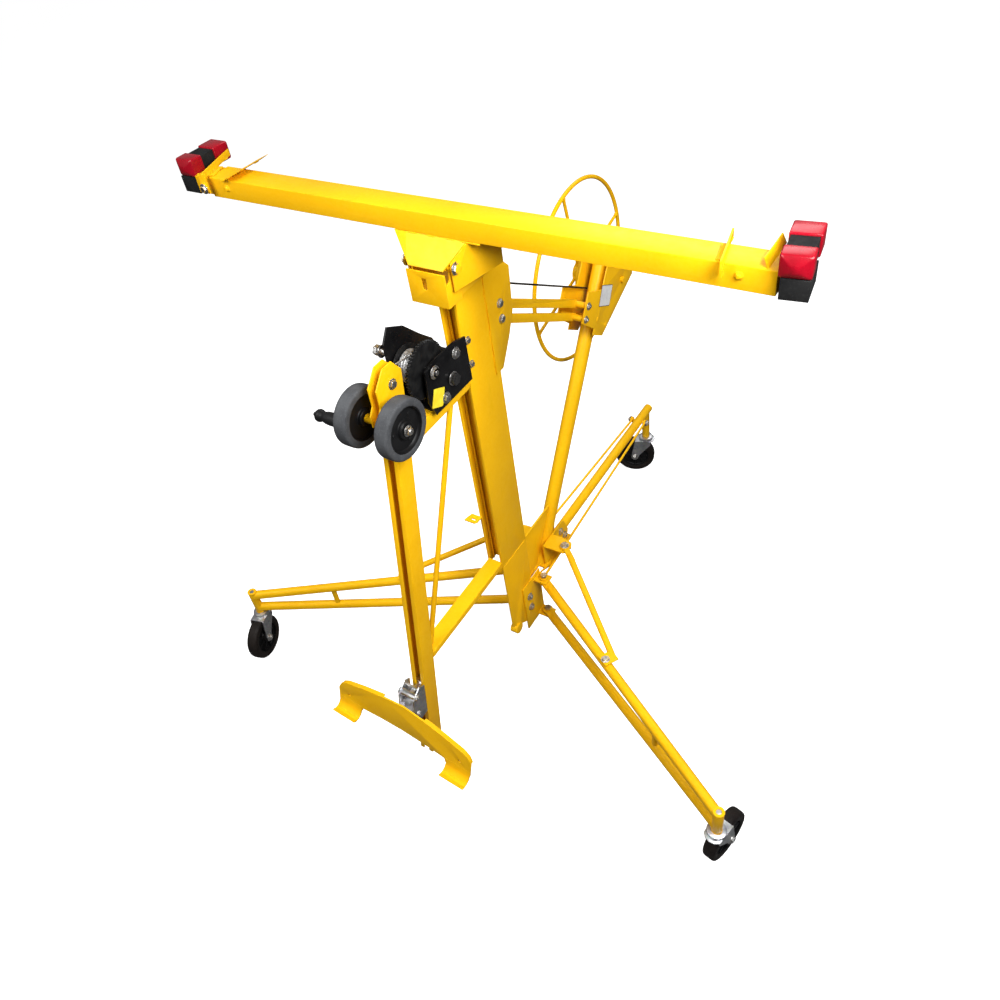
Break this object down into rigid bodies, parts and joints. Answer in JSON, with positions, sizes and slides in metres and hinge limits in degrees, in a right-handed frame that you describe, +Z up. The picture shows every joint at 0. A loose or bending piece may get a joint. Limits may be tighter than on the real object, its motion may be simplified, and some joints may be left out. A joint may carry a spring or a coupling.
{
  "type": "drywall panel lift",
  "caption": "Rolling drywall lift with a telescoping mast, tilting cross beam, rear handwheel winch, front panel loader with crank winch, and folding caster legs.",
  "frame": {"origin": "on the floor, at the middle of the lift's footprint; the mast's axis is at x -0.0060, y -0.1648", "axes": "+Z up; +X along the cross beam towards the end whose pad sits against the beam; +Y from the mast to the rear leg and the handwheel, so the panel loader is on the -Y side"},
  "size_m": [1.4264, 1.3804, 1.3512],
  "materials": {
    "yellow_paint": "semi-gloss powder coat",
    "black_paint": "gloss black enamel",
    "zinc_plate": "bright zinc plate",
    "black_gear": "blackened steel with worn teeth",
    "dark_steel": "oiled steel",
    "red_cap": "glossy moulded cap",
    "black_rubber": "matt",
    "roller_rubber": "matt grey tyre",
    "caster_tyre": "satin",
    "grip_plastic": "fine moulded grain",
    "wire_rope": "stranded wire"
  },
  "bodies": {
    "base": {"mast_outer_channel": "yellow_paint", "mast_base_section": "yellow_paint", "mast_ear_left": "yellow_paint", "mast_ear_right": "yellow_paint", "leg_hinge_bracket_left": "yellow_paint", "leg_hinge_bracket_right": "yellow_paint", "rear_hub_bracket": "yellow_paint", "winch_post": "yellow_paint", "back_leg": "yellow_paint", "tie_rod_left": "yellow_paint", "tie_rod_right": "yellow_paint", "winch_brace_lower": "yellow_paint", "winch_brace_upper": "yellow_paint", "rear_winch_frame": "yellow_paint", "lift_cable": "wire_rope", "loader_arm": "yellow_paint", "loader_strut": "yellow_paint", "loader_stay_rod": "yellow_paint", "loader_track": "yellow_paint", "roller_bracket": "yellow_paint", "loader_winch_frame": "black_paint", "loader_cable": "wire_rope"},
    "middle_stage": {"middle_mast_stage": "yellow_paint"},
    "inner_stage": {"inner_mast_stage": "yellow_paint", "head_box": "yellow_paint"},
    "head": {"tilt_hood": "yellow_paint", "cross_beam": "yellow_paint", "end_flange_left": "yellow_paint", "end_flange_right": "yellow_paint", "edge_rest_left": "yellow_paint", "edge_rest_right": "yellow_paint"},
    "arm_left": {"arm_extension_left": "yellow_paint", "pad_core_left": "black_rubber", "pad_cap_front_left": "red_cap", "pad_cap_rear_left": "red_cap"},
    "arm_right": {"arm_extension_right": "yellow_paint", "pad_core_right": "black_rubber", "pad_cap_front_right": "red_cap", "pad_cap_rear_right": "red_cap"},
    "lift_winch": {"winch_handwheel": "yellow_paint", "winch_brake_drum": "yellow_paint", "winch_cable_drum": "yellow_paint"},
    "leg_left": {"side_leg_left": "yellow_paint", "side_brace_left": "yellow_paint"},
    "leg_right": {"side_leg_right": "yellow_paint", "side_brace_right": "yellow_paint"},
    "fork_left": {"caster_fork_left": "zinc_plate"},
    "fork_right": {"caster_fork_right": "zinc_plate"},
    "fork_rear": {"caster_fork_rear": "zinc_plate"},
    "wheel_left": {"caster_wheel_left": "caster_tyre"},
    "wheel_right": {"caster_wheel_right": "caster_tyre"},
    "wheel_rear": {"caster_wheel_rear": "caster_tyre"},
    "pulley": {"cable_pulley": "dark_steel"},
    "roller_left": {"panel_roller_left": "roller_rubber"},
    "roller_right": {"panel_roller_right": "roller_rubber"},
    "loader_gear": {"loader_drum": "black_gear"},
    "crank": {"winch_crank": "dark_steel"},
    "grip": {"crank_grip": "grip_plastic"},
    "carriage": {"panel_carriage": "zinc_plate"},
    "cradle": {"carrier_bar": "yellow_paint"}
  },
  "joints": [
    {"name": "lift_handwheel_spin", "type": "hinge", "parent": "base", "child": "lift_winch", "pos_m": [-0.006, 0.4402, 0.843], "axis": [-1, 0, 0], "range_deg": [0, 1105]},
    {"name": "middle_stage_slide", "type": "slide", "parent": "base", "child": "middle_stage", "axis": [0, 0, 1], "range_m": [0, 0.58]},
    {"name": "inner_stage_slide", "type": "slide", "parent": "middle_stage", "child": "inner_stage", "axis": [0, 0, 1], "range_m": [0, 0.58]},
    {"name": "head_tilt", "type": "hinge", "parent": "inner_stage", "child": "head", "pos_m": [-0.006, -0.2428, 1.236], "axis": [1, 0, 0], "range_deg": [0, 60]},
    {"name": "left_arm_slide", "type": "slide", "parent": "head", "child": "arm_left", "axis": [-1, 0, 0], "range_m": [0, 0.25]},
    {"name": "right_arm_slide", "type": "slide", "parent": "head", "child": "arm_right", "axis": [1, 0, 0], "range_m": [0, 0.25]},
    {"name": "loader_crank_spin", "type": "hinge", "parent": "base", "child": "crank", "pos_m": [-0.006, -0.2878, 1.0265], "axis": [1, 0, 0], "range_deg": [0, 4905]},
    {"name": "loader_drum_spin", "type": "hinge", "parent": "base", "child": "loader_gear", "pos_m": [-0.006, -0.3372, 1.0734], "axis": [1, 0, 0], "range_deg": [-1160, 0]},
    {"name": "carriage_slide", "type": "slide", "parent": "base", "child": "carriage", "axis": [0, 0.1715, 0.9852], "range_m": [0, 0.6]},
    {"name": "pulley_spin", "type": "hinge", "parent": "base", "child": "pulley", "pos_m": [-0.006, -0.4221, 1.0975], "axis": [1, 0, 0], "range_deg": [-1915, 0]},
    {"name": "crank_grip_spin", "type": "hinge", "parent": "crank", "child": "grip", "pos_m": [-0.156, -0.4268, 0.965], "axis": [1, 0, 0], "continuous": true},
    {"name": "left_roller_spin", "type": "hinge", "parent": "base", "child": "roller_left", "pos_m": [-0.0525, -0.4648, 1.04], "axis": [1, 0, 0], "continuous": true},
    {"name": "right_roller_spin", "type": "hinge", "parent": "base", "child": "roller_right", "pos_m": [0.0405, -0.4648, 1.04], "axis": [1, 0, 0], "continuous": true},
    {"name": "left_leg_fold", "type": "hinge", "parent": "base", "child": "leg_left", "pos_m": [-0.054, -0.0898, 0.23], "axis": [0, 0, 1], "range_deg": [0, 30]},
    {"name": "right_leg_fold", "type": "hinge", "parent": "base", "child": "leg_right", "pos_m": [0.042, -0.0898, 0.23], "axis": [0, 0, 1], "range_deg": [-30, 0]},
    {"name": "left_caster_swivel", "type": "hinge", "parent": "leg_left", "child": "fork_left", "pos_m": [-0.689, -0.4768, 0.2], "axis": [0, 0, 1], "continuous": true},
    {"name": "right_caster_swivel", "type": "hinge", "parent": "leg_right", "child": "fork_right", "pos_m": [0.677, -0.4768, 0.2], "axis": [0, 0, 1], "continuous": true},
    {"name": "rear_caster_swivel", "type": "hinge", "parent": "base", "child": "fork_rear", "pos_m": [-0.006, 0.6652, 0.2], "axis": [0, 0, 1], "continuous": true},
    {"name": "left_wheel_spin", "type": "hinge", "parent": "fork_left", "child": "wheel_left", "pos_m": [-0.67994, -0.51061, 0.0635], "axis": [-0.9659, -0.2588, 0], "continuous": true},
    {"name": "right_wheel_spin", "type": "hinge", "parent": "fork_right", "child": "wheel_right", "pos_m": [0.68487, -0.4427, 0.0635], "axis": [0.9744, -0.225, 0], "continuous": true},
    {"name": "rear_wheel_spin", "type": "hinge", "parent": "fork_rear", "child": "wheel_rear", "pos_m": [-0.03889, 0.65323, 0.0635], "axis": [-0.342, 0.9397, 0], "continuous": true},
    {"name": "cradle_level", "type": "hinge", "parent": "carriage", "child": "cradle", "pos_m": [-0.006, -0.64079, 0.31598], "axis": [0, 0.9852, -0.1715], "range_deg": [-14, 0]}
  ],
  "couplings": [
    {"joint": "middle_stage_slide", "follows": "lift_handwheel_spin", "m_per_rad": 0.03},
    {"joint": "inner_stage_slide", "follows": "lift_handwheel_spin", "m_per_rad": 0.03},
    {"joint": "loader_drum_spin", "follows": "loader_crank_spin", "ratio": -0.23529},
    {"joint": "carriage_slide", "follows": "loader_crank_spin", "m_per_rad": 0.007},
    {"joint": "pulley_spin", "follows": "loader_crank_spin", "ratio": -0.389}
  ]
}
